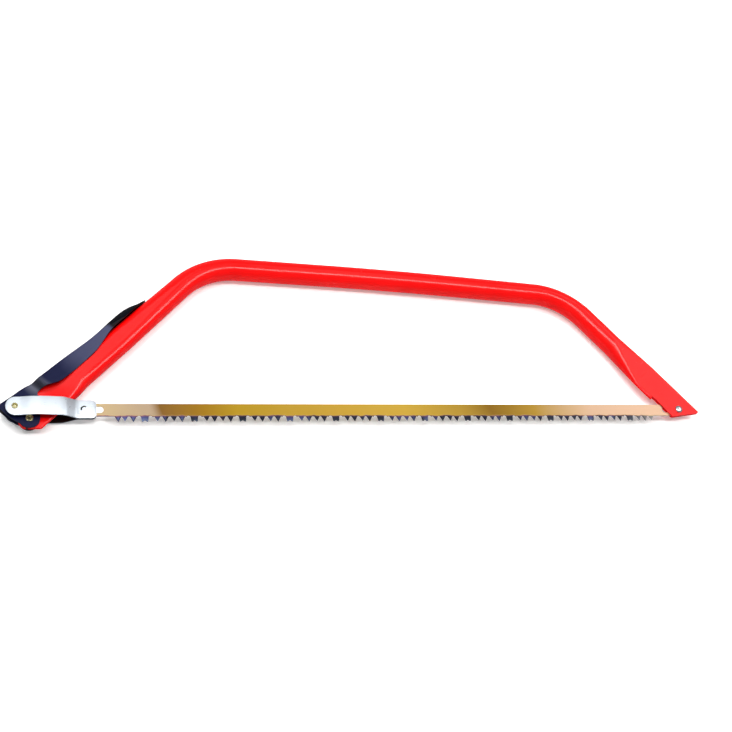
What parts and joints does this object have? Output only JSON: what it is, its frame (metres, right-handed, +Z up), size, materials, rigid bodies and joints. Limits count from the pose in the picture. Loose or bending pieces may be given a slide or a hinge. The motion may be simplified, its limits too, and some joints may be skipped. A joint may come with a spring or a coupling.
{
  "type": "bow saw",
  "caption": "Bow saw with a bent steel tube frame, a toothed blade held by a front pin and a peg, and an over-centre tensioning lever with link straps.",
  "frame": {"origin": "middle of the whole saw's box, on the surface that it lies on", "axes": "+X along the blade from the lever end to the front end, +Y from the blade to the top bar, +Z up out of the saw's front side as it lies flat"},
  "size_m": [0.704, 0.1845, 0.022],
  "materials": {
    "red_paint": "glossy enamel",
    "navy_paint": "semi-gloss enamel",
    "zinc": "bright zinc plate",
    "gold_lacquer": "gold lacquered steel with hardened tooth tips",
    "rivet": "yellow passivated",
    "bright_steel": "bright plated"
  },
  "bodies": {
    "frame": {"frame_tube": "red_paint", "pivot_rivet": "rivet", "front_pin": "bright_steel", "front_pin_ring": "bright_steel"},
    "lever": {"tension_lever": "navy_paint", "link_spacer": "bright_steel"},
    "link": {"link_front_strap": "zinc", "link_rear_strap": "zinc", "link_rivet": "rivet", "link_washers": "zinc"},
    "blade": {"saw_blade": "gold_lacquer"}
  },
  "joints": [
    {"name": "lever_open", "type": "hinge", "parent": "frame", "child": "lever", "pos_m": [-0.3256, -0.08309, 0.011], "axis": [0, 0, 1], "range_deg": [0, 105]},
    {"name": "link_swing", "type": "hinge", "parent": "lever", "child": "link", "pos_m": [-0.3381, -0.07349, 0.011], "axis": [0, 0, 1], "range_deg": [-105, 0]},
    {"name": "blade_swing", "type": "hinge", "parent": "frame", "child": "blade", "pos_m": [0.3289, -0.07349, 0.011], "axis": [0, 0, 1], "range_deg": [0, 3]}
  ],
  "couplings": [
    {"joint": "link_swing", "follows": "lever_open", "ratio": -0.9792},
    {"joint": "blade_swing", "follows": "lever_open", "ratio": 0.0208}
  ]
}
